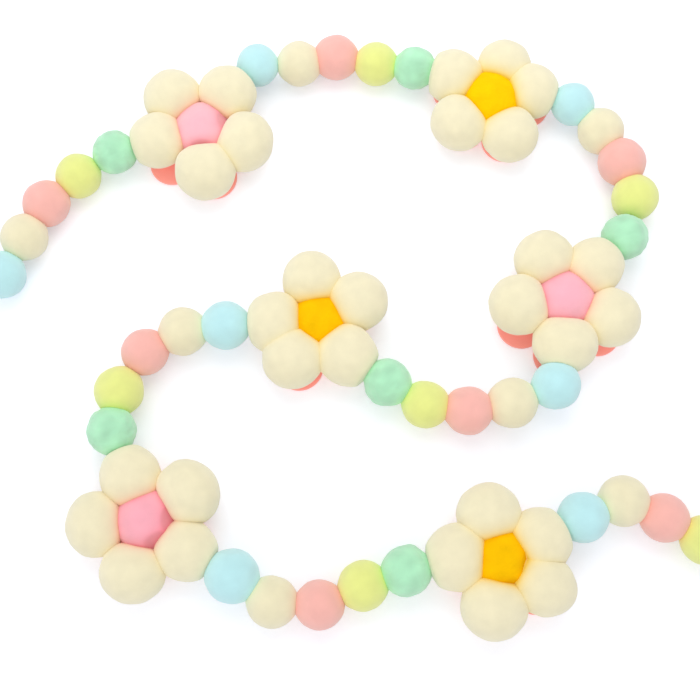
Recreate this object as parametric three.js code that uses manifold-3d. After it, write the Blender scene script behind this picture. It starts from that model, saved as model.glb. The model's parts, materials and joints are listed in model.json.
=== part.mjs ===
// A felt flower garland, lying in a loose S on a flat surface.
//
// Strands of felt balls run between six felt daisies. The balls are threaded close
// together, so each is pressed flat where it meets the next. A daisy is a ring of five
// cream balls round a coloured centre ball, all glued to a five-lobed felt backing.
//
// Millimetres, +Z up. The origin is the middle of the garland's footprint, on the surface
// that it lies on. Angles are in degrees, anticlockwise from +X as seen from above.

import * as THREE from "three";
import { mergeVertices } from "three/addons/utils/BufferGeometryUtils.js";
import Module from "manifold-3d";

const wasm = await Module();
wasm.setup();

// ---- Driving dimensions ----

const GAP = 0.3; // left between two pieces that touch
const GROWTH = 0.34; // added to a ball's half sizes to stay a gap away from its facets
const BALL_DETAIL = 2; // how finely a ball's octahedron is divided
const BLOCK = 60; // side of the block that cuts a flat, wider than any ball
const MERGE = 1e-4; // corners this near each other are one

// How much a threaded ball's own weight flattens it underneath.
const BEAD_FLAT = 0.3;

// The die-cut felt behind a daisy: how far out its lobes' centres lie, a lobe's radius, and
// the steps in each lobe's arc.
const BACKING = { lobes: 5, thick: 1.6, reach: 16.4, lobe: 9.8, arcSteps: 4 };
const ON_BACKING = BACKING.thick + GAP;

// Half sizes of a full-size petal ball, measured outwards from the daisy's middle, across and
// up, with how much its weight flattens it underneath. Its inner half is shorter by the share
// tuck, and bulges by the share cheek towards its neighbours.
const PETAL = { length: 12, width: 12.4, height: 11, flat: 0.9, tuck: 0.06, cheek: 0.08 };

// Half sizes of a daisy's centre ball.
const CENTRE = { radius: 12.5, height: 8.5 };

// Felt's colours, and how matt it is.
const ROUGHNESS = 0.95;
const FELT = {
  blue: 0xc3f2f5,
  cream: 0xf2e6c4,
  coral: 0xffb5aa,
  lemon: 0xeef986,
  mint: 0xa9efc0,
  petal: 0xf7edc5,
  pink: 0xffb5c2,
  gold: 0xffd000,
  backing: 0xfb8f85,
};

// The balls of a strand repeat these colours from its first ball on.
const STRAND_COLOURS = ["blue", "cream", "coral", "lemon", "mint"];

// A row for each strand: the spot and the radius of each of its balls, as [x, y, radius].
const STRANDS = [
  {
    name: "a",
    balls: [
      [-140, 18.5, 9.7],
      [-132, 35, 9.6],
      [-124, 50, 9.6],
      [-111.5, 62.5, 9.3],
      [-96.5, 72.5, 9],
    ],
  },
  {
    name: "b",
    balls: [
      [-37, 113.5, 8.9],
      [-19, 115, 9.5],
      [-3, 118, 9.6],
      [14.5, 115, 9.3],
      [31, 112, 9],
    ],
  },
  {
    name: "c",
    balls: [
      [98.5, 95, 9],
      [110, 83, 9.7],
      [118, 68.5, 9.9],
      [122.5, 52.5, 9.6],
      [116.5, 34.5, 9.4],
    ],
  },
  {
    name: "d",
    balls: [
      [84.5, -29, 9.7],
      [67.5, -35, 10.1],
      [50, -38, 9.7],
      [33, -35.5, 9.5],
      [18, -27, 9.5],
    ],
  },
  {
    name: "e",
    balls: [
      [-47, -3.5, 9.8],
      [-64.5, -5.5, 9.8],
      [-79.5, -14, 9.4],
      [-89, -30, 9.8],
      [-90.5, -46.5, 9.5],
    ],
  },
  {
    name: "f",
    balls: [
      [-41.5, -102, 10.3],
      [-26.5, -111.5, 9.8],
      [-8.5, -112.5, 9.4],
      [8, -105.5, 9.6],
      [24.5, -100, 9.6],
    ],
  },
  {
    name: "g",
    balls: [
      [92.5, -80, 9.8],
      [109, -73.5, 9.9],
      [124.5, -80, 9.4],
      [139.5, -88.5, 9.5],
    ],
  },
];

// A row for each daisy: where its middle lies, its centre's colour and how high its petals
// hold the centre's middle, its petals as [direction, reach from the middle, size], and how
// its backing is turned and shifted from under the middle.
const DAISIES = [
  {
    name: "1",
    x: -60,
    y: 83,
    centre: "pink",
    rise: 10,
    petals: [
      [132, 19.5, 0.98],
      [57, 19.5, 0.98],
      [-19, 19.5, 1.02],
      [-83, 20, 1.02],
      [-165, 19.5, 0.96],
    ],
    backing: { turn: 142, dx: 0.1, dy: -1.9 },
  },
  {
    name: "2",
    x: 63,
    y: 96.5,
    centre: "gold",
    rise: 11.5,
    petals: [
      [145, 19, 0.97],
      [68, 18, 0.92],
      [13, 18.5, 0.95],
      [-64, 18.5, 0.96],
      [-142, 17.5, 0.97],
    ],
    backing: { turn: 148, dx: 0.8, dy: 1.3 },
  },
  {
    name: "3",
    x: 90.5,
    y: 8,
    centre: "pink",
    rise: 10.5,
    petals: [
      [116, 18.5, 0.98],
      [47, 19, 0.96],
      [-25, 20, 0.97],
      [-94, 19, 1.02],
      [-168, 19.5, 1],
    ],
    backing: { turn: 120, dx: -0.7, dy: -5.3 },
  },
  {
    name: "4",
    x: -9.5,
    y: -2,
    centre: "gold",
    rise: 10,
    petals: [
      [100, 18.5, 0.96],
      [28, 18.5, 0.98],
      [-51, 19, 1],
      [-124, 19, 1],
      [-178, 17.5, 1],
    ],
    backing: { turn: 100, dx: -1, dy: -1.7 },
  },
  {
    name: "5",
    x: -75,
    y: -81,
    centre: "pink",
    rise: 10.5,
    petals: [
      [113, 19, 0.96],
      [34, 18.5, 1.02],
      [-36, 20, 0.96],
      [-102, 20, 0.99],
      [-175, 19, 0.98],
    ],
    backing: { turn: 114, dx: 0, dy: 0 },
  },
  {
    name: "6",
    x: 61,
    y: -96.5,
    centre: "gold",
    rise: 12,
    petals: [
      [105, 18.5, 0.99],
      [29, 17, 0.99],
      [-30, 18.5, 0.99],
      [-103, 17.5, 1.02],
      [175, 17.5, 1.02],
    ],
    backing: { turn: 108, dx: 0.5, dy: -0.5 },
  },
];

// A ball this near a daisy's middle is the one next to it on the thread. The daisy's thicker
// petals hold it up, clear of the backing.
const NEXT_TO_DAISY = 46;

// ---- Solids ----

const UP = new THREE.Vector3(0, 0, 1);
const DOWN = new THREE.Vector3(0, 0, -1);
const radians = THREE.MathUtils.degToRad;

// The point a given distance from the origin, in a direction in the plane.
function polar(distance, degrees) {
  return new THREE.Vector2(distance, 0).rotateAround(new THREE.Vector2(), radians(degrees));
}

// A manifold solid from a closed geometry.
function solidOf(geometry) {
  const bare = geometry.clone();
  bare.deleteAttribute("normal");
  bare.deleteAttribute("uv");
  const merged = mergeVertices(bare, MERGE);
  const vertProperties = new Float32Array(merged.attributes.position.array);
  const triVerts = new Uint32Array(merged.index.array);
  return new wasm.Manifold(new wasm.Mesh({ numProp: 3, vertProperties, triVerts }));
}

// A solid, as a mesh of one colour of felt.
function feltMesh(name, solid, colour) {
  const { vertProperties, triVerts } = solid.getMesh();
  const geometry = new THREE.BufferGeometry();
  geometry.setAttribute("position", new THREE.BufferAttribute(vertProperties, 3));
  geometry.setIndex(new THREE.BufferAttribute(triVerts, 1));
  geometry.computeVertexNormals();
  const material = new THREE.MeshStandardMaterial({
    color: FELT[colour],
    roughness: ROUGHNESS,
    metalness: 0,
  });
  const mesh = new THREE.Mesh(geometry, material);
  mesh.name = name;
  return mesh;
}

// A ball adds to its name, colour, middle, half sizes and turn the planes of the flats that
// are pressed into it. The first is the flat that it rests on.
function ball({ floor, ...form }) {
  return { ...form, planes: [{ normal: DOWN, at: -floor }] };
}

// How far a ball reaches from its middle in a direction: the support of its ellipsoid.
function reachOf({ halves, degrees }, direction) {
  return direction.clone().applyAxisAngle(UP, -radians(degrees)).multiply(halves).length();
}

// Two balls that would overlap are pressed flat on the plane across the line between their
// middles, halfway through the overlap, with the gap between them.
function press(one, other) {
  const normal = other.middle.clone().sub(one.middle);
  const apart = normal.length();
  normal.normalize();
  const reach = reachOf(one, normal);
  const overlap = reach + reachOf(other, normal) - apart;
  if (overlap > -GAP) {
    const at = normal.dot(one.middle) + reach - overlap / 2;
    one.planes.push({ normal, at: at - GAP / 2 });
    other.planes.push({ normal: normal.clone().negate(), at: -at - GAP / 2 });
  }
}

// Draws the inner half of a ball of radius 1 in, and out again towards its two neighbours. The
// ball's outer half points along +X.
function tuckIn(geometry, { tuck, cheek }) {
  const { position } = geometry.attributes;
  const point = new THREE.Vector3();
  for (let i = 0; i < position.count; i += 1) {
    point.fromBufferAttribute(position, i);
    const inner = Math.min(point.x, 0) ** 2;
    point.multiplyScalar(1 + inner * (4 * cheek * point.y ** 2 - tuck));
    position.setXYZ(i, point.x, point.y, point.z);
  }
}

// An ellipsoid with its half sizes grown by a margin.
function ellipsoid({ middle, halves, degrees, tucked }, margin = 0) {
  const geometry = new THREE.OctahedronGeometry(1, BALL_DETAIL);
  if (tucked) tuckIn(geometry, PETAL);
  geometry.scale(halves.x + margin, halves.y + margin, halves.z + margin);
  geometry.rotateZ(radians(degrees));
  geometry.translate(middle.x, middle.y, middle.z);
  return solidOf(geometry);
}

// The block of everything beyond a plane, near the ball that it flattens.
function beyond({ normal, at }, middle) {
  const geometry = new THREE.BoxGeometry(BLOCK, BLOCK, BLOCK);
  geometry.translate(0, 0, BLOCK / 2);
  geometry.applyQuaternion(new THREE.Quaternion().setFromUnitVectors(UP, normal));
  const foot = middle.clone().addScaledVector(normal, at - normal.dot(middle));
  geometry.translate(foot.x, foot.y, foot.z);
  return solidOf(geometry);
}

// A ball with its flats.
function pressed(round) {
  const cuts = round.planes.map((plane) => beyond(plane, round.middle));
  return cuts.reduce((solid, cut) => solid.subtract(cut), ellipsoid(round));
}

// ---- The strands ----

// The direction from one spot of a strand to another.
function wayTo([x, y], [otherX, otherY]) {
  return THREE.MathUtils.radToDeg(Math.atan2(otherY - y, otherX - x));
}

// A strand's balls, each turned along the strand. All lie on the surface, but for the ones
// next to a daisy.
function strandBalls({ name, balls }) {
  return balls.map(([x, y, radius], i) => {
    const colour = STRAND_COLOURS[i];
    const near = DAISIES.some((daisy) => Math.hypot(daisy.x - x, daisy.y - y) < NEXT_TO_DAISY);
    const floor = near ? ON_BACKING : 0;
    return ball({
      name: `bead_${name}${i + 1}_${colour}`,
      colour,
      middle: new THREE.Vector3(x, y, floor + radius - BEAD_FLAT),
      halves: new THREE.Vector3(radius, radius, radius),
      degrees: i ? wayTo(balls[i - 1], balls[i]) : wayTo(balls[0], balls[1]),
      floor,
    });
  });
}

// ---- The daisies ----

// A daisy's petals lie round its middle, each with its length pointing outwards.
function petalBalls({ name, x, y, petals }) {
  return petals.map(([degrees, reach, size], i) => {
    const out = polar(reach, degrees);
    const rise = ON_BACKING + size * PETAL.height - PETAL.flat;
    return ball({
      name: `petal_${name}${i + 1}`,
      colour: "petal",
      middle: new THREE.Vector3(x + out.x, y + out.y, rise),
      halves: new THREE.Vector3(PETAL.length, PETAL.width, PETAL.height).multiplyScalar(size),
      degrees,
      tucked: true,
      floor: ON_BACKING,
    });
  });
}

// The five petals are pressed into one another and joined in one ring.
function petalRing({ name }, petals) {
  const ring = petals.map(pressed).reduce((all, petal) => all.add(petal));
  return feltMesh(`petals_${name}`, ring, "petal");
}

// The centre ball fills the hollow that the petals leave, and stays clear of them.
function centreBall({ name, x, y, centre, rise }, petals) {
  const round = ball({
    name: `centre_${name}`,
    colour: centre,
    middle: new THREE.Vector3(x, y, rise),
    halves: new THREE.Vector3(CENTRE.radius, CENTRE.radius, CENTRE.height),
    degrees: 0,
    floor: ON_BACKING,
  });
  const solid = petals.reduce((left, petal) => left.subtract(ellipsoid(petal, GROWTH)), pressed(round));
  return feltMesh(round.name, solid, round.colour);
}

// The backing's outline runs round its lobes, from notch to notch. A notch is where two
// neighbouring lobes' circles cross on the outer side.
function backingSheet({ name, x, y, backing }) {
  const half = Math.PI / BACKING.lobes;
  const across = BACKING.reach * Math.sin(half);
  const notch = BACKING.reach * Math.cos(half) + Math.sqrt(BACKING.lobe ** 2 - across ** 2);
  const sweep = Math.atan2(notch * Math.sin(half), notch * Math.cos(half) - BACKING.reach);
  const outline = new THREE.Shape();
  for (let lobe = 0; lobe < BACKING.lobes; lobe += 1) {
    const way = 2 * half * lobe;
    const [cx, cy] = [BACKING.reach * Math.cos(way), BACKING.reach * Math.sin(way)];
    outline.absarc(cx, cy, BACKING.lobe, way - sweep, way + sweep, false);
  }
  const geometry = new THREE.ExtrudeGeometry(outline, {
    depth: BACKING.thick,
    bevelEnabled: false,
    curveSegments: BACKING.arcSteps,
  });
  geometry.rotateZ(radians(backing.turn));
  geometry.translate(x + backing.dx, y + backing.dy, 0);
  return feltMesh(`backing_${name}`, solidOf(geometry), "backing");
}

// ---- The garland ----

const garland = new THREE.Group();

const beads = STRANDS.flatMap(strandBalls);
const rings = DAISIES.map(petalBalls);
const petals = rings.flat();

beads.forEach((bead, i) => beads.slice(i + 1).forEach((other) => press(bead, other)));
beads.forEach((bead) => petals.forEach((petal) => press(bead, petal)));

beads.forEach((bead) => garland.add(feltMesh(bead.name, pressed(bead), bead.colour)));
DAISIES.forEach((daisy, i) => {
  garland.add(backingSheet(daisy), petalRing(daisy, rings[i]), centreBall(daisy, rings[i]));
});

// The origin is the middle of the footprint.
const middle = new THREE.Box3().setFromObject(garland).getCenter(new THREE.Vector3());
garland.position.set(-middle.x, -middle.y, 0);

export default garland;
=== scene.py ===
"""The looks of a felt flower garland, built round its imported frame.

Wet-felted wool balls are threaded close together in strands, with a daisy between one strand and
the next. A daisy is five large cream balls pressed round a coloured one, on a backing cut from
felt sheet. Every ball starts round, and is then pressed by its neighbours.
"""

import itertools
import json
import logging
import math
from dataclasses import dataclass, field, replace
from enum import Enum

import bpy
import numpy as np
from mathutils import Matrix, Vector


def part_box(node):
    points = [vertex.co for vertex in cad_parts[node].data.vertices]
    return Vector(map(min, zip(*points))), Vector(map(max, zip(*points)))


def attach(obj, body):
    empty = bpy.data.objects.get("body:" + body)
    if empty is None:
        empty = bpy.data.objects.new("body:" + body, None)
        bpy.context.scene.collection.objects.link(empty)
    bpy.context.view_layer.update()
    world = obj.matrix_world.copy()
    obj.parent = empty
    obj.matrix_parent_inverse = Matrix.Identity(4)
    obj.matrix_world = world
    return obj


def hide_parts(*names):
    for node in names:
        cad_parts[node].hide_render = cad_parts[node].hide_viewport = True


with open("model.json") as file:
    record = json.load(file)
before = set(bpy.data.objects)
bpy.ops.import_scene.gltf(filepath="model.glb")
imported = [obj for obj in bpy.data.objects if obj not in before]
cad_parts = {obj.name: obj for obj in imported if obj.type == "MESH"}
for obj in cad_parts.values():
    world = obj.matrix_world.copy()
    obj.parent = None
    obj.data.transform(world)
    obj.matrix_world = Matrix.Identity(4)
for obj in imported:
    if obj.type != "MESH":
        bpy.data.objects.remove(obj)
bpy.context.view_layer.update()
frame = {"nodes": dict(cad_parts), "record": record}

log = logging.getLogger("garland")

Array = np.ndarray

MM = 0.001  # everything is in metres, and sizes are written in millimetres times this
SEAM = -0.5 * MM  # felted balls that are pressed together mesh this deep, fibre into fibre
PETAL_SEAM = -1.3 * MM  # a daisy's petals are also glued, and mesh deeper
SAME = 0.01 * MM  # corners whose heights differ by less are level
CROWN_APART = 8 * MM  # two balls' crowns are further apart than this
TABLE_DROP = 0.05 * MM  # the table's top lies this far below the garland
FOLD_MEAN = 0.8  # about the mean of the absolute value of a spread of 1
EDGE_ON = 1e-6  # a ray this nearly level with a stop never meets it
ROOT = "root"  # the one body: cloth has no joints


# ---------------------------------------------------------------- colours and felts


def linear(code: str) -> tuple[float, float, float, float]:
    """Turns an sRGB hex colour into linear light.

    Args:
        code: six hex digits after a #.

    Returns:
        Red, green, blue and an alpha of 1.
    """
    shares = [int(code[i : i + 2], 16) / 255 for i in (1, 3, 5)]
    red, green, blue = (
        s / 12.92 if s <= 0.04045 else ((s + 0.055) / 1.055) ** 2.4 for s in shares
    )
    return red, green, blue, 1.0


@dataclass(frozen=True)
class Relief:
    """A smooth uneven height over space, as hand-rolled felt has."""

    size_mm: float
    depth_mm: float
    folded: bool = False
    waves: int = 24
    shortest: float = 0.7
    longest: float = 1.4

    def at(self, points: Array, dice: np.random.Generator) -> Array:
        """Works out the height at each point.

        Formula: a sum of cosines of k . p + phase. Each k points at random, and its length is two
        pi over the size, times a share from the shortest to the longest. Divided by the root of
        half their number, the sum spreads by about 1. Folded relief is its absolute value less
        that value's mean, which leaves grooves along its zero lines.

        Args:
            points: places, in metres.
            dice: the source of the waves' directions and phases.

        Returns:
            Heights in metres, about as often up as down.
        """
        ways = dice.normal(size=(self.waves, 3))
        ways /= np.linalg.norm(ways, axis=1, keepdims=True)
        lengths = math.tau / (self.size_mm * MM) * dice.uniform(self.shortest, self.longest, self.waves)
        phases = dice.uniform(0, math.tau, self.waves)
        sums = np.cos(points @ (ways * lengths[:, None]).T + phases).sum(axis=1)
        height = sums / math.sqrt(self.waves / 2)
        if self.folded:
            height = np.abs(height) - FOLD_MEAN
        return height * self.depth_mm * MM


SMOOTH = (Relief(9.0, 0.08), Relief(3.0, 0.025))
LUMPY = (Relief(9.0, 0.10), Relief(3.5, 0.10, folded=True), Relief(1.6, 0.03))
WRINKLED = (Relief(9.0, 0.12), Relief(6.0, 0.12, folded=True), Relief(2.4, 0.05))
SHEET = (Relief(7.0, 0.05), Relief(1.6, 0.03))
BLOTCH = Relief(7.0, 1.0)  # how evenly the wool is dyed: a share of its colour, not a height


@dataclass(frozen=True)
class Felt:
    """Matt wet-felted merino wool of one colour: fibres shrunk into a dense, soft-edged skin.

    The eye sees no gloss and a pale fuzz towards the outline. Where the wool meets its
    neighbour, a deeper, warmer colour is painted in, which stands in for light bounced between
    the two. The depth is how much deeper that colour is, and the crease shade is how much
    painted shade darkens it right in the seam. A painted glow, light that the felt gives off,
    lightens it where its neighbours shade it, and uneven is how far the dye varies.
    """

    slot: str
    colour: str
    relief: tuple[Relief, ...] = SMOOTH
    depth: float = 1.6
    fuzz: float = 0.5
    painted_glow: float = 0.0
    uneven: float = 0.01
    crease_shade: float = 0.14
    clump_mm: float = 3.0
    tuft_mm: float = 0.5
    mottle: float = 0.035

    @property
    def dye(self) -> Array:
        """The wool's colour in linear light."""
        return np.array(linear(self.colour)[:3])

    def beside(self, other: "Felt") -> Array:
        """Works out the colour of this felt deep in its seam with another.

        It stands in for light that bounces from wall to wall, and is brighter. Formula: this
        colour to the power of its depth, times the root of the other's, made as bright as a
        colour can be.

        Args:
            other: the neighbour's felt.

        Returns:
            The seam's colour in linear light.
        """
        deep = self.dye**self.depth * np.sqrt(other.dye)
        return deep / deep.max()

    def material(self) -> bpy.types.Material:
        """Makes the felt's material, or finds it if it is already made."""
        name = f"wool_{self.slot}"
        return bpy.data.materials.get(name) or self._made(name)

    def _made(self, name: str) -> bpy.types.Material:
        """Builds the nodes: the wool's colour, its clumps' mottling and its tufts' bump.

        Args:
            name: what the material is called.

        Returns:
            The material.
        """
        material = bpy.data.materials.new(name)
        material.use_nodes = True
        tree = material.node_tree
        shader = tree.nodes["Principled BSDF"]
        place = node(tree, "ShaderNodeTexCoord").outputs["Object"]

        # Fibres gather in soft clumps, a shade lighter or darker.
        clump = {"Scale": 1 / (self.clump_mm * MM), "Detail": 3.0}
        clumps = node(tree, "ShaderNodeTexNoise", clump, Vector=place)
        shades = {"To Min": 1 - self.mottle, "To Max": 1 + self.mottle}
        mottle = node(tree, "ShaderNodeMapRange", shades, Value=clumps.outputs["Fac"])
        # The wool colour holds the dye with the seams' painted light and shade.
        dye = node(tree, "ShaderNodeAttribute", attribute_name="wool")
        wool = node(
            tree,
            "ShaderNodeVectorMath",
            operation="MULTIPLY",
            first=dye.outputs["Color"],
            second=mottle.outputs["Result"],
        )
        tree.links.new(wool.outputs["Vector"], shader.inputs["Base Color"])

        # Single fibres are too fine to show, so the bump is of small tufts.
        tuft = {"Scale": 1 / (self.tuft_mm * MM), "Detail": 4.0, "Distortion": 1.5}
        fibres = node(tree, "ShaderNodeTexNoise", tuft, Vector=place)
        bump = node(
            tree, "ShaderNodeBump", {"Strength": 0.35, "Distance": 0.12 * MM}, Height=fibres.outputs["Fac"]
        )
        tree.links.new(bump.outputs["Normal"], shader.inputs["Normal"])
        # A painted glow: the felt gives off light of its own colour, which lightens it where its
        # neighbours shade it.
        tree.links.new(wool.outputs["Vector"], shader.inputs["Emission Color"])
        shader.inputs["Emission Strength"].default_value = self.painted_glow

        shader.inputs["Roughness"].default_value = 0.95
        shader.inputs["IOR"].default_value = 1.5
        shader.inputs["Specular IOR Level"].default_value = 0.1
        shader.inputs["Sheen Weight"].default_value = self.fuzz
        shader.inputs["Sheen Roughness"].default_value = 0.6
        shader.inputs["Diffuse Roughness"].default_value = 0.3
        return material


class Wool(Enum):
    """The garland's felts, by colour."""

    BLUE = Felt("felt_blue", "#C6F1F5")
    CREAM = Felt("felt_cream", "#F4ECCA")
    CORAL = Felt("felt_coral", "#FDC0B6")
    LEMON = Felt("felt_lemon", "#EEF393")
    MINT = Felt("felt_mint", "#B6EEC8", WRINKLED, uneven=0.04)
    PETAL = Felt("felt_petal", "#F6EECD", depth=1.8)
    PINK = Felt("felt_pink", "#FFBDCB", depth=2.2)
    GOLD = Felt("felt_gold", "#FFCB00", LUMPY, depth=1.4, fuzz=0.0, uneven=0.02)
    # The backing's painted glow lightens it where the petals shade it.
    BACKING = Felt("felt_backing", "#FFA094", painted_glow=0.2)


def node(
    tree: bpy.types.NodeTree,
    kind: str,
    values: dict[str, object] | None = None,
    **settings: object,
) -> bpy.types.Node:
    """Adds a node with its settings and links.

    Args:
        tree: the tree that gets the node.
        kind: the node's type.
        values: constants, by the name of an input.
        settings: links, by the name of an input, where the value is an output; other values set
            the node's own properties. A maths node's inputs share a name, so they are first and
            second.

    Returns:
        The new node.
    """
    made = tree.nodes.new(kind)
    links = {k: v for k, v in settings.items() if isinstance(v, bpy.types.NodeSocket)}
    for name, value in settings.items():
        if name not in links:
            setattr(made, name, value)
    inputs = {s.name: s for s in made.inputs if s.enabled}
    inputs |= dict(zip(("first", "second"), made.inputs))
    for name, value in links.items():
        tree.links.new(value, inputs[name])
    for name, value in (values or {}).items():
        inputs[name].default_value = value
    return made


# ---------------------------------------------------------------- meshes


def add_piece(name: str, points: Array, faces: Array, felt: Felt, wool: Array) -> bpy.types.Object:
    """Puts a surface into a new piece that rides with the garland.

    Args:
        name: the piece's name.
        points: a row for each corner, in metres.
        faces: a row of four corner numbers for each face.
        felt: what it is made of.
        wool: the colour at each corner, in linear light, with the seams' painted light and shade.

    Returns:
        The piece.
    """
    mesh = bpy.data.meshes.new(name)
    mesh.vertices.add(len(points))
    mesh.vertices.foreach_set("co", points.astype(np.float32).ravel())
    mesh.loops.add(faces.size)
    mesh.loops.foreach_set("vertex_index", faces.astype(np.int32).ravel())
    mesh.polygons.add(len(faces))
    mesh.polygons.foreach_set("loop_start", np.arange(len(faces), dtype=np.int32) * faces.shape[1])
    mesh.update(calc_edges=True)
    mesh.shade_smooth()
    dyes = np.ones((len(points), 4), dtype=np.float32)
    dyes[:, :3] = wool
    mesh.attributes.new("wool", "FLOAT_COLOR", "POINT").data.foreach_set("color", dyes.ravel())
    mesh.materials.append(felt.material())
    piece = bpy.data.objects.new(name, mesh)
    bpy.context.scene.collection.objects.link(piece)
    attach(piece, ROOT)
    return piece


def round_grid(steps: int) -> tuple[Array, Array]:
    """Covers a ball in quads that are nearly alike, with no poles.

    Formula: a cube's faces are six grids of two parameters, each from -1 to 1. Every parameter
    becomes the tangent of 45 degrees times itself, and each point is then moved to distance 1.
    Points on the cube's edges are shared, so the seams are closed.

    Args:
        steps: how many quads lie along a cube's edge.

    Returns:
        Unit directions, and rows of four corner numbers that run anticlockwise from outside.
    """
    marks = np.arange(steps + 1) * 2 - steps
    across, along = np.meshgrid(marks, marks, indexing="ij")
    corner = np.arange((steps + 1) ** 2).reshape(steps + 1, steps + 1)
    quads = np.stack([corner[:-1, :-1], corner[1:, :-1], corner[1:, 1:], corner[:-1, 1:]], axis=-1)
    sheets, faces = [], []
    for axis, side in itertools.product(range(3), (-1, 1)):
        sheet = np.stack([np.full_like(across, side * steps), side * across, along], axis=-1)
        faces.append(quads.reshape(-1, 4) + len(sheets) * corner.size)
        sheets.append(np.roll(sheet, axis, axis=-1).reshape(-1, 3))
    spots, shared = np.unique(np.concatenate(sheets), axis=0, return_inverse=True)
    directions = np.tan(spots / steps * math.pi / 4)
    directions /= np.linalg.norm(directions, axis=1, keepdims=True)
    return directions, shared.reshape(-1)[np.concatenate(faces)]


def corners(name: str) -> Array:
    """Reads where the corners of a CAD node are.

    Args:
        name: the node.

    Returns:
        A row for each corner, in metres.
    """
    vertices = frame["nodes"][name].data.vertices
    points = np.empty(len(vertices) * 3)
    vertices.foreach_get("co", points)
    return points.reshape(-1, 3)


def crowns(name: str) -> Array:
    """Finds the crown of each ball in a CAD node.

    A crown is a corner with no higher one near it as seen from above.

    Args:
        name: the node.

    Returns:
        A row for each crown, in metres.
    """
    points = np.unique(np.round(corners(name) / SAME), axis=0) * SAME
    near = np.linalg.norm(points[:, None, :2] - points[None, :, :2], axis=-1) < CROWN_APART
    higher = points[None, :, 2] > points[:, None, 2] + SAME
    tops = points[~(near & higher).any(axis=1)]
    return tops[tops[:, 2] > (points[:, 2].min() + points[:, 2].max()) / 2]


def turned(points: Array, angle: float) -> Array:
    """Turns points about the Z axis, anticlockwise as seen from above."""
    c, s = math.cos(angle), math.sin(angle)
    return points @ np.array([[c, s, 0], [-s, c, 0], [0, 0, 1]])


def out(angle: float) -> Array:
    """Gives the level direction at an angle from +X."""
    return np.array([math.cos(angle), math.sin(angle), 0.0])


# ---------------------------------------------------------------- balls


@dataclass(frozen=True)
class Press:
    """Where a neighbour of about the same size stops a ball: a plane, or a shallow bowl or dome.

    A bulge above 0 rounds the stop like a ball's own surface, and one below 0 hollows it. The
    glow is how far the seam's painted colour reaches, which stands in for light bounced between
    the two balls, and the share is how strong it is.
    """

    felt: Felt
    normal: Array
    distance: float
    bulge: float = 0.0
    share: float = 0.5
    glow_mm: float = 1.1

    def limit(self, directions: Array, middle: Array) -> Array:
        """Works out how far the ball's middle is from the stop, along each direction.

        Formula: the stop is the points p with n . p + b |p across n|² / 2 = d, so a ray at an
        angle with cosine c meets it at 2 d / (c + root of (c² + 2 b d (1 - c²))). The stop's
        distance is already from the ball's middle, so the middle is there for a Dent only.

        Args:
            directions: unit directions from the ball's middle.
            middle: the ball's middle, which is not used.

        Returns:
            A length for each direction, infinite where the ray never meets the stop.
        """
        cosine = directions @ self.normal
        inside = cosine**2 + 2 * self.bulge * self.distance * (1 - cosine**2)
        below = cosine + np.sqrt(np.maximum(inside, 0))
        met = (inside > 0) & (below > EDGE_ON) & ((cosine > 0) | (self.bulge > 0))
        return np.where(met, 2 * self.distance / np.where(met, below, 1), np.inf)

    def depth(self, points: Array, middle: Array) -> Array:
        """Works out how far points lie from the stop.

        Args:
            points: places, in metres.
            middle: the ball's middle.

        Returns:
            A length for each point, in metres.
        """
        offsets = points - middle
        along = offsets @ self.normal
        across = (offsets**2).sum(axis=1) - along**2
        return np.abs(self.distance - along - self.bulge * across / 2)


@dataclass(frozen=True)
class Dent:
    """Where a rounder neighbour keeps its form and stops a ball."""

    felt: Felt
    middle: Array
    halves: Array
    turn: float
    share: float = 1.0
    glow_mm: float = 0.8

    def limit(self, directions: Array, middle: Array) -> Array:
        """Works out how far along each direction the neighbour is.

        Formula: in the neighbour's own axes, divided by its half sizes, it is a ball of radius 1,
        and the ray's first crossing solves a r² + 2 b r + c = 0.

        Args:
            directions: unit directions from the ball's middle.
            middle: the ball's middle.

        Returns:
            A length for each direction, infinite where the ray never meets the neighbour.
        """
        start = turned((middle - self.middle)[None], -self.turn)[0] / self.halves
        ray = turned(directions, -self.turn) / self.halves
        a = (ray**2).sum(axis=1)
        b = ray @ start
        inside = b**2 - a * (start @ start - 1)
        first = (-b - np.sqrt(np.maximum(inside, 0))) / a
        return np.where((inside > 0) & (first > 0), first, np.inf)

    def depth(self, points: Array, middle: Array) -> Array:
        """Works out roughly how far points lie from the neighbour, in metres."""
        offsets = turned(points - self.middle, -self.turn) / self.halves
        return np.abs(np.linalg.norm(offsets, axis=1) - 1) * self.halves.mean()


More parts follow.
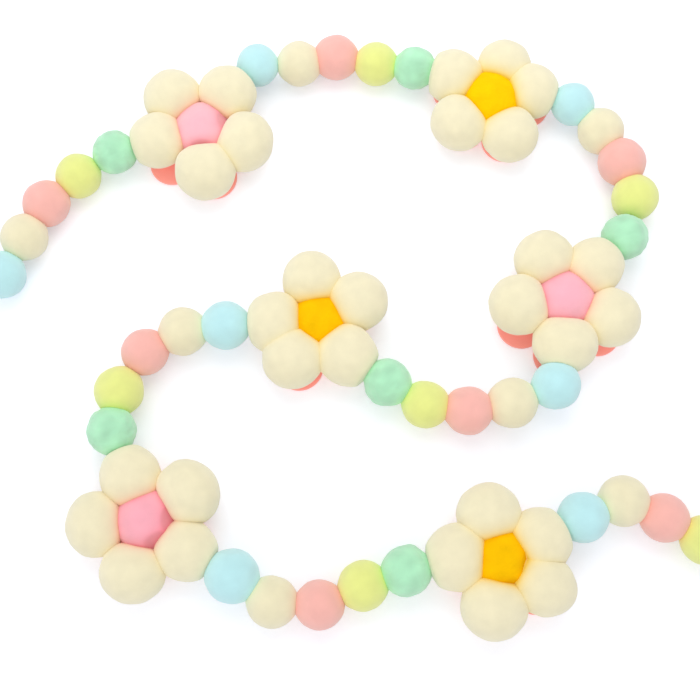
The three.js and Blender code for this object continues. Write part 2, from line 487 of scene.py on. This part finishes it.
@dataclass
class Ball:
    """One felt ball: an ellipsoid that its neighbours and what it lies on have pressed."""

    name: str
    node: str
    felt: Felt
    middle: Array
    halves: Array
    turn: float
    floor: float
    steps: int
    tuck: float = 0.0
    cheek: float = 0.0
    softness: float = 120.0
    swell_mm: float = 0.4
    swell_reach_mm: float = 1.5
    most_swell: float = 1.3
    crease_shade_power: int = 4
    # Neighbours that only paint colour, with no stop: a centre's colour reflected onto a petal.
    painted_reflections: list[Dent] = field(default_factory=list)
    stops: list[Press | Dent] = field(default_factory=list)

    def free(self, directions: Array) -> Array:
        """Works out how far the ball reaches where nothing presses it.

        Formula: in the ball's own axes, where the daisy's middle is at -X, the length along a
        direction u is 1 over the length of u divided by the half sizes. The inner half, with x
        below 0, is multiplied by 1 + x² (4 cheek y² - tuck): shorter towards the middle, and
        fuller towards its two neighbours.

        Args:
            directions: unit directions from the ball's middle.

        Returns:
            A length for each direction, in metres.
        """
        own = turned(directions, -self.turn)
        inner = np.minimum(own[:, 0], 0) ** 2
        shape = 1 + inner * (4 * self.cheek * own[:, 1] ** 2 - self.tuck)
        return shape / np.linalg.norm(own / self.halves, axis=1)

    def reach(self, direction: Array) -> float:
        """Works out how far the free ball reaches in one direction."""
        return float(self.free(direction[None])[0])

    def surface(self, dice: np.random.Generator) -> tuple[Array, Array, Array]:
        """Works out the ball's surface.

        Formula: each stop gives a radius along a direction u, and so does the free ball. The
        felt's radius is their soft least, (sum of r^-s)^(-1/s), which rounds the rims. Before
        that, the free radius swells near each stop, because the pressed wool goes sideways. The
        relief is added along u, less of it near a stop, and what would lie below the floor is
        flat on it. The colour is the dye's, with each seam's painted colour, which stands in for
        bounced light, fading out from it, and painted shade darkening it right in the seam.

        Args:
            dice: the source of the relief's waves.

        Returns:
            The points, the faces and the wool's colour at each point.
        """
        directions, faces = round_grid(self.steps)
        free = self.free(directions)
        points = self.middle + directions * free[:, None]
        depths = np.array([stop.depth(points, self.middle) for stop in self.stops]) / MM
        swell = np.exp(-depths / self.swell_reach_mm).sum(axis=0)
        free = free + np.minimum(swell, self.most_swell) * self.swell_mm * MM
        limits = [free, *(stop.limit(directions, self.middle) for stop in self.stops)]
        least = sum((free / limit) ** self.softness for limit in limits)
        radius = free * least ** (-1 / self.softness)
        points = self.middle + directions * radius[:, None]
        free_share = np.ones(len(points))
        tone = 1 + self.felt.uneven * BLOTCH.at(points, dice) / MM
        wool = self.felt.dye * tone[:, None]
        # Each stop paints its seam's colour, which stands in for light bounced between the two; the
        # painted reflections put a centre's colour on its petals.
        for stop in [*self.stops, *self.painted_reflections]:
            near = np.exp(-stop.depth(points, self.middle) / (stop.glow_mm * MM))
            free_share = np.minimum(free_share, 1 - near)
            wool += (self.felt.beside(stop.felt) - wool) * near[:, None] * stop.share
        # Painted shade darkens the wool right in each seam.
        wool *= 1 - self.felt.crease_shade * (1 - free_share[:, None]) ** self.crease_shade_power
        height = sum(relief.at(points, dice) for relief in self.felt.relief)
        points += directions * (height * free_share)[:, None]
        points[:, 2] = np.maximum(points[:, 2], self.floor)
        return points, faces, wool

    def build(self, dice: np.random.Generator) -> bpy.types.Object:
        """Makes the ball's piece, which stands for its CAD node.

        Args:
            dice: the source of the relief's waves.

        Returns:
            The piece.
        """
        points, faces, wool = self.surface(dice)
        piece = add_piece(self.name, points, faces, self.felt, wool)
        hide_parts(self.node)
        return piece


def press(one: Ball, other: Ball, bulge: float = 0.0, seam: float = SEAM, share: float = 0.5) -> None:
    """Presses two balls together where they would overlap.

    The stop crosses the line between their middles halfway through the overlap, with half the
    seam on each side.

    Args:
        one: a ball.
        other: its neighbour.
        bulge: how much the first ball keeps its roundness, in 1/m.
        seam: the width of the seam, in metres, below 0 where they mesh.
        share: how strong the seam's painted colour, which stands in for bounced light, is on
        the first ball.
    """
    normal = other.middle - one.middle
    apart = float(np.linalg.norm(normal))
    normal = normal / apart
    reach = one.reach(normal)
    overlap = reach + other.reach(normal) - apart
    if overlap > 0:
        distance = reach - overlap / 2
        one.stops.append(Press(other.felt, normal, distance - seam / 2, bulge, share))
        other.stops.append(Press(one.felt, -normal, apart - distance - seam / 2, -bulge))


@dataclass
class Strand:
    """A run of small balls on the thread between two daisies."""

    name: str
    flat_mm: float = 0.3
    steps: int = 28

    def balls(self) -> list[Ball]:
        """Finds the strand's balls in the frame, in order."""
        nodes = sorted(n for n in frame["nodes"] if n.startswith(f"bead_{self.name}"))
        return [self._ball(name) for name in nodes]

    def _ball(self, name: str) -> Ball:
        """Makes a ball that hangs from its CAD node's crown and is as big as it.

        Args:
            name: the node.

        Returns:
            The ball, with nothing pressing it yet.
        """
        low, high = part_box(name)
        radius = (high.z - low.z + self.flat_mm * MM) / 2
        crown = crowns(name)[0]
        return Ball(
            name=f"felt_{name}",
            node=name,
            felt=Wool[name.split("_")[-1].upper()].value,
            middle=crown - [0, 0, radius],
            halves=np.full(3, radius),
            turn=0.0,
            floor=low.z,
            steps=self.steps,
        )


# ---------------------------------------------------------------- daisies


@dataclass
class Backing:
    """A five-lobed shape cut from coral felt sheet, which the petals are glued to."""

    node: str
    lobes: int = 5
    reach_mm: float = 16.4
    lobe_mm: float = 9.8
    edge_mm: float = 0.5
    edge_steps: int = 8
    trim_degrees: float = 36.0
    rings: int = 24
    rays: int = 240

    def outline(self, angles: Array) -> Array:
        """Works out how far the cut edge is from the middle, in metres.

        Formula: a lobe is a circle whose middle lies out along the lobe's axis. A ray at an angle
        a from that axis leaves it at R cos a + root of (r² - R² sin² a).

        Args:
            angles: directions from the middle, from the first lobe's axis.

        Returns:
            A length for each direction, in metres.
        """
        whole = math.tau / self.lobes
        off = (angles + whole / 2) % whole - whole / 2
        side = self.reach_mm * np.sin(off)
        return (self.reach_mm * np.cos(off) + np.sqrt(self.lobe_mm**2 - side**2)) * MM

    def build(self, dice: np.random.Generator) -> bpy.types.Object:
        """Makes the sheet.

        Its section, from the middle of the top round the soft cut edge to the middle of the
        underside, is carried round the outline.

        Args:
            dice: the source of the relief's waves.

        Returns:
            The piece.
        """
        points = corners(self.node)
        middle = np.unique(np.round(points[:, :2] / SAME) * SAME, axis=0).mean(axis=0)
        offsets = points[:, :2] - middle
        tip = offsets[np.argmax(np.hypot(*offsets.T))]
        low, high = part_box(self.node)
        angles = np.arange(self.rays) / self.rays * math.tau
        ways = angles + math.atan2(tip[1], tip[0])
        far = self.outline(angles) - self._trim(ways)

        share, inset, height = self._section(high.z - low.z)
        reach = np.maximum(far[None] * share[:, None] - inset[:, None] * (share[:, None] > 0), 0)
        flat = np.stack([reach * np.cos(ways), reach * np.sin(ways)], axis=-1) + middle
        heights = np.broadcast_to((low.z + height)[:, None], reach.shape)
        grid = np.concatenate([flat, heights[..., None]], axis=-1)
        inner = grid[1:-1].reshape(-1, 3)
        wave = sum(relief.at(inner, dice) for relief in SHEET)
        inner[:, 2] += wave * (inner[:, 2] > low.z + self.edge_mm * MM)
        points = np.concatenate([inner, grid[0, :1], grid[-1, :1]])
        faces = self._faces(len(grid) - 2)

        felt = Wool.BACKING.value
        piece = add_piece(f"felt_{self.node}", points, faces, felt, np.tile(felt.dye, (len(points), 1)))
        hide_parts(self.node)
        return piece

    def _trim(self, ways: Array) -> Array:
        """Works out how far short of its outline the sheet is cut, in metres.

        Formula: each cut's depth times the square of the cosine of the angle off its direction,
        stretched so that it is over by the trim's own angle away.

        Args:
            ways: directions from the middle.

        Returns:
            A length for each direction, below 0 where the sheet is cut wide.
        """
        short = np.zeros(len(ways))
        stretch = 90 / self.trim_degrees
        for way, depth_mm in TRIMS.get(self.node.split("_")[-1], ()):
            off = (ways - math.radians(way) + math.pi) % math.tau - math.pi
            short += depth_mm * MM * np.cos(np.clip(off * stretch, -math.pi / 2, math.pi / 2)) ** 2
        return short

    def _section(self, thick: float) -> tuple[Array, Array, Array]:
        """Works out the sheet's section.

        Formula: straight over the top, a half turn of an ellipse round the edge, and straight
        back. The share is of the way out to the edge, and the inset is how far short of it.

        Args:
            thick: the sheet's thickness, in metres.

        Returns:
            The share, inset and height of each point.
        """
        flat = np.linspace(0, 1, self.rings)
        bend = np.linspace(0, math.pi, self.edge_steps + 1)[1:-1]
        edge = self.edge_mm * MM
        share = np.concatenate([flat, np.ones(len(bend)), flat[::-1]])
        inset = np.concatenate([flat * edge, edge * (1 - np.sin(bend)), flat[::-1] * edge])
        height = np.concatenate(
            [np.full(self.rings, thick), thick / 2 * (1 + np.cos(bend)), np.zeros(self.rings)]
        )
        return share, inset, height

    def _faces(self, rings: int) -> Array:
        """Joins the rings in quads, and closes each middle with quads that span two rays each.

        Args:
            rings: how many rings there are, without the two middles.

        Returns:
            Rows of four corner numbers.
        """
        ring = np.arange(rings * self.rays).reshape(rings, self.rays)
        after = np.roll(ring, -1, axis=1)
        body = np.stack([ring[1:], after[1:], after[:-1], ring[:-1]], axis=-1).reshape(-1, 4)
        first, second, third = (np.roll(ring, -k, axis=1)[[0, -1], ::2] for k in range(3))
        middle = np.broadcast_to(np.array([[ring.size], [ring.size + 1]]), first.shape)
        caps = np.stack([middle, first, second, third], axis=-1)
        return np.concatenate([body, caps[0], caps[1, :, ::-1]])


# Each daisy's centre has a shade of its own.
SHADES = {
    "1": "#FFC2CE",
    "2": "#FFD400",
    "3": "#FFBCCB",
    "4": "#FFCB00",
    "5": "#FFB5C4",
    "6": "#FFCA00",
}

# How much further in each petal comes than a plain one, in mm, in order round the daisy from the
# -X side. Its outer edge stays where it is. One that stays back is wider, so its seams stay shut.
INWARD = {
    "1": (0.5, 0.0, -1.0, -0.5, -0.5),
    "2": (-1.0, 0.5, 0.0, 0.0, 0.5),
    "3": (0.0, -1.5, 0.0, 1.0, -0.5),
    "4": (-1.0, 1.0, 1.5, 0.5, 0.5),
    "5": (-1.5, -1.0, 1.0, -1.5, 1.0),
    "6": (0.0, 3.0, 0.0, -0.5, -0.5),
}

# How far a petal leans round its daisy, in mm, anticlockwise from above. Those left out don't.
AROUND = {"1": (0.5, 0.0, 0.0, 0.0, 0.0), "3": (-1.0, 0.0, 0.0, 0.0, 0.0)}

# Where a centre slopes down before it meets its petals: a row for each slope, with the direction
# that it faces, in degrees, and how far from the daisy's middle it starts, in mm.
SLOPES = {
    "1": ((14.0, 7.4), (-86.0, 7.6)),
    "5": ((0.0, 6.6), (-58.0, 6.9)),
    "6": ((-8.0, 6.2), (-78.0, 7.4)),
}

# Where a backing is cut short of its outline: a row for each place, with its direction, in degrees
# from the backing's middle, and its depth, in mm. Below 0, the backing is cut wide there.
TRIMS = {
    "2": ((228.0, 1.8), (170.0, -0.8)),
    "3": ((135.0, 2.2),),
    "4": ((5.0, 1.6),),
}


@dataclass
class Daisy:
    """Five petals pressed round a centre, on a backing."""

    name: str
    petal_mm: tuple[float, float, float] = (12.0, 12.4, 11.0)
    petal_flat_mm: float = 0.9
    tuck: float = 0.06
    cheek: float = 0.08
    centre_mm: tuple[float, float, float] = (12.5, 12.5, 8.5)
    slope_fall: float = 48.0
    steps: int = 32

    def petals(self) -> list[Ball]:
        """Finds the petals by their crowns.

        Returns:
            The petals in order round the daisy, with nothing pressing them yet.
        """
        ring = f"petals_{self.name}"
        hub = crowns(f"centre_{self.name}")[0]
        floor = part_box(ring)[0].z
        full = np.array(self.petal_mm) * MM
        tops = crowns(ring)
        sizes = (tops[:, 2] - floor + self.petal_flat_mm * MM) / (2 * full[2])
        ways = np.arctan2(*(tops - hub)[:, 1::-1].T)
        order = np.argsort(ways)
        inward = np.array(INWARD[self.name]) / 2 * MM
        around = np.array(AROUND.get(self.name, (0,) * 5)) * MM
        return [
            Ball(
                name=f"felt_petal_{self.name}{i + 1}",
                node=ring,
                felt=Wool.PETAL.value,
                middle=tops[k]
                - [0, 0, full[2] * sizes[k]]
                - inward[i] * out(ways[k])
                + around[i] * out(ways[k] + math.pi / 2),
                halves=full * sizes[k] + np.array([1, -0.5, 0]) * inward[i],
                turn=float(ways[k]),
                floor=floor,
                steps=self.steps,
                tuck=self.tuck,
                cheek=self.cheek,
            )
            for i, k in enumerate(order)
        ]

    def centre(self, petals: list[Ball]) -> Ball:
        """Makes the centre ball, dented by the petals round it.

        Args:
            petals: the daisy's petals.

        Returns:
            The ball.
        """
        name = f"centre_{self.name}"
        slot = next(s for s in frame["record"]["subparts"] if s["node"] == name)["material_slot"]
        wool = next(w.value for w in Wool if w.value.slot == slot)
        halves = np.array(self.centre_mm) * MM
        inward = np.array([1 - self.tuck, 1, 1])
        ball = Ball(
            name=f"felt_{name}",
            node=name,
            felt=replace(wool, colour=SHADES[self.name]),
            middle=crowns(name)[0] - [0, 0, halves[2]],
            halves=halves,
            turn=0.0,
            floor=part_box(name)[0].z,
            steps=self.steps,
            softness=70.0,
            swell_mm=0.0,
            stops=[Dent(p.felt, p.middle, p.halves * inward + SEAM, p.turn) for p in petals],
        )
        ball.stops += [self._slope(ball, *slope) for slope in SLOPES.get(self.name, ())]
        return ball

    def _slope(self, ball: Ball, way: float, start_mm: float) -> Press:
        """Makes the stop for a slope that runs down from the centre's top to a petal.

        Args:
            ball: the centre ball.
            way: the direction that the slope faces, in degrees.
            start_mm: how far from the middle it starts.

        Returns:
            The stop.
        """
        level, fall = out(math.radians(way)), math.radians(self.slope_fall)
        normal = level * math.sin(fall) + [0, 0, math.cos(fall)]
        start = level * start_mm * MM
        start[2] = ball.halves[2] * math.sqrt(1 - (start_mm * MM / ball.halves[0]) ** 2)
        # The slope paints a deeper colour of the centre's own, which stands in for the shade on it.
        return Press(ball.felt, normal, float(start @ normal), share=0.3, glow_mm=0.7)


# ---------------------------------------------------------------- garland


@dataclass
class Garland:
    """The strands and daisies on their thread."""

    seed: int = 20
    petal_bulge: float = 45.0
    on_top: tuple[str, ...] = ("felt_bead_d1_blue",)
    leaning: float = 0.04
    lift_mm: float = 1.2
    bite: float = 1.15
    strands: tuple[str, ...] = ("a", "b", "c", "d", "e", "f", "g")
    daisies: tuple[str, ...] = ("1", "2", "3", "4", "5", "6")

    def build(self) -> None:
        """Makes every piece. The balls press each other before any of them is made."""
        beads = [ball for name in self.strands for ball in Strand(name).balls()]
        daisies = [Daisy(name) for name in self.daisies]
        rings = [daisy.petals() for daisy in daisies]
        petals = [petal for ring in rings for petal in ring]
        for bead in beads:
            if bead.name in self.on_top:
                self._lean(bead, petals)
        for one, other in itertools.combinations(beads, 2):
            press(one, other)
        for one, other in itertools.combinations(petals, 2):
            press(one, other, seam=PETAL_SEAM)
        for petal, bead in itertools.product(petals, beads):
            if bead.name in self.on_top:
                halves = bead.halves * [1, 1, self.bite] + SEAM
                petal.stops.append(Dent(bead.felt, bead.middle, halves, 0.0, share=0.3))
            else:
                press(petal, bead, self.petal_bulge, share=0.15)
        centres = [daisy.centre(ring) for daisy, ring in zip(daisies, rings)]
        # Each petal gets a painted reflection of its centre's colour near it.
        for ring, centre in zip(rings, centres):
            for petal in ring:
                petal.painted_reflections.append(
                    Dent(centre.felt, centre.middle, centre.halves, centre.turn, share=1.0, glow_mm=2.2)
                )
        for number, ball in enumerate([*beads, *petals, *centres]):
            piece = ball.build(np.random.default_rng([self.seed, number]))
            log.info("%s: %d faces", piece.name, len(piece.data.polygons))
        for number, name in enumerate(self.daisies):
            piece = Backing(f"backing_{name}").build(np.random.default_rng([self.seed, 1000 + number]))
            log.info("%s: %d faces", piece.name, len(piece.data.polygons))

    def _lean(self, bead: Ball, petals: list[Ball]) -> None:
        """Lifts a bead and moves it towards the nearest petal, whose edge it lies on.

        Args:
            bead: the bead, which is changed.
            petals: every petal.
        """
        petal = min(petals, key=lambda p: np.linalg.norm(p.middle - bead.middle))
        bead.middle = bead.middle + (petal.middle - bead.middle) * self.leaning
        bead.middle[2] += self.lift_mm * MM


# ---------------------------------------------------------------- studio


@dataclass
class Studio:
    """A plain white table under soft light, and the camera above it."""

    azimuth: float = 0.0
    elevation: float = 76.0
    distance: float = 0.391
    target: tuple[float, float, float] = (0.0034, -0.01435, 0.010)
    lens: float = 50.0
    side: float = 1.6
    table_glow: float = 0.315
    room: float = 0.67
    room_seen: float = 1.0

    def build(self) -> None:
        """Sets up the table, the light and the camera."""
        self._floor()
        self._world()
        self._lamp("key", (-0.55, -1.25, 0.9), size=1.2, watts=5.6)
        self._lamp("top", (0.0, 0.3, 0.45), size=0.5, watts=1.2)
        self._camera()
        bpy.context.scene.view_settings.view_transform = "Standard"

    def _floor(self) -> None:
        """Lays the table just below the garland, matt white, and a little brighter to the camera."""
        half = self.side / 2
        mesh = bpy.data.meshes.new("floor")
        spots = [(-half, -half), (half, -half), (half, half), (-half, half)]
        mesh.from_pydata([(x, y, -TABLE_DROP) for x, y in spots], [], [(0, 1, 2, 3)])
        floor = bpy.data.objects.new("floor", mesh)
        bpy.context.scene.collection.objects.link(floor)
        material = bpy.data.materials.new("white_table")
        material.use_nodes = True
        tree = material.node_tree
        tree.nodes.clear()
        seen = self._seen(tree)
        matt = node(tree, "ShaderNodeBsdfDiffuse", {"Color": linear("#EEF0F9")})
        glow = node(tree, "ShaderNodeEmission", {"Color": (1, 1, 1, 1)})
        share = node(tree, "ShaderNodeMath", {"second": self.table_glow}, operation="MULTIPLY", first=seen)
        tree.links.new(share.outputs[0], glow.inputs["Strength"])
        both = node(tree, "ShaderNodeAddShader", first=matt.outputs[0], second=glow.outputs[0])
        node(tree, "ShaderNodeOutputMaterial", Surface=both.outputs[0])
        mesh.materials.append(material)

    def _seen(self, tree: bpy.types.NodeTree) -> bpy.types.NodeSocket:
        """Tells which rays show the surroundings: a camera's, a gloss's or a glass's.

        Args:
            tree: the tree that gets the nodes.

        Returns:
            An output that is 1 for such a ray and 0 for any other.
        """
        rays = node(tree, "ShaderNodeLightPath").outputs
        seen = rays["Is Camera Ray"]
        for kind in ("Is Glossy Ray", "Is Transmission Ray"):
            both = node(tree, "ShaderNodeMath", operation="MAXIMUM", first=seen, second=rays[kind])
            seen = both.outputs[0]
        return seen

    def _world(self) -> None:
        """Surrounds the table with even white light, which the camera sees brighter than it is."""
        world = bpy.data.worlds.new("white_room")
        bpy.context.scene.world = world
        world.use_nodes = True
        tree = world.node_tree
        tree.nodes.clear()
        seen = self._seen(tree)
        light = {"To Min": self.room, "To Max": self.room_seen}
        strength = node(tree, "ShaderNodeMapRange", light, Value=seen)
        room = node(
            tree, "ShaderNodeBackground", {"Color": (1, 1, 1, 1)}, Strength=strength.outputs["Result"]
        )
        node(tree, "ShaderNodeOutputWorld", Surface=room.outputs[0])

    def _lamp(self, name: str, place: tuple[float, float, float], size: float, watts: float) -> None:
        """Hangs a square soft box that faces the garland.

        Args:
            name: what it is called.
            place: where it hangs, in metres.
            size: its side, in metres.
            watts: its power.
        """
        data = bpy.data.lights.new(name, "AREA")
        data.size = size
        data.energy = watts
        lamp = bpy.data.objects.new(name, data)
        lamp.location = place
        lamp.rotation_euler = (-Vector(place)).to_track_quat("-Z", "Y").to_euler()
        bpy.context.scene.collection.objects.link(lamp)

    def _camera(self) -> None:
        """Aims the camera at its target from the azimuth, elevation and distance."""
        a, e = math.radians(self.azimuth), math.radians(self.elevation)
        back = Vector((math.sin(a) * math.cos(e), -math.cos(a) * math.cos(e), math.sin(e)))
        data = bpy.data.cameras.new("camera")
        data.lens = self.lens
        data.clip_start = 0.01
        camera = bpy.data.objects.new("camera", data)
        camera.location = Vector(self.target) + back * self.distance
        camera.rotation_euler = (-back).to_track_quat("-Z", "Y").to_euler()
        bpy.context.scene.collection.objects.link(camera)
        bpy.context.scene.camera = camera


def main() -> None:
    """Builds the garland and the studio, and notes the sizes."""
    logging.basicConfig(level=logging.INFO, format="%(message)s")
    Garland().build()
    Studio().build()


if __name__ == "__main__":
    main()
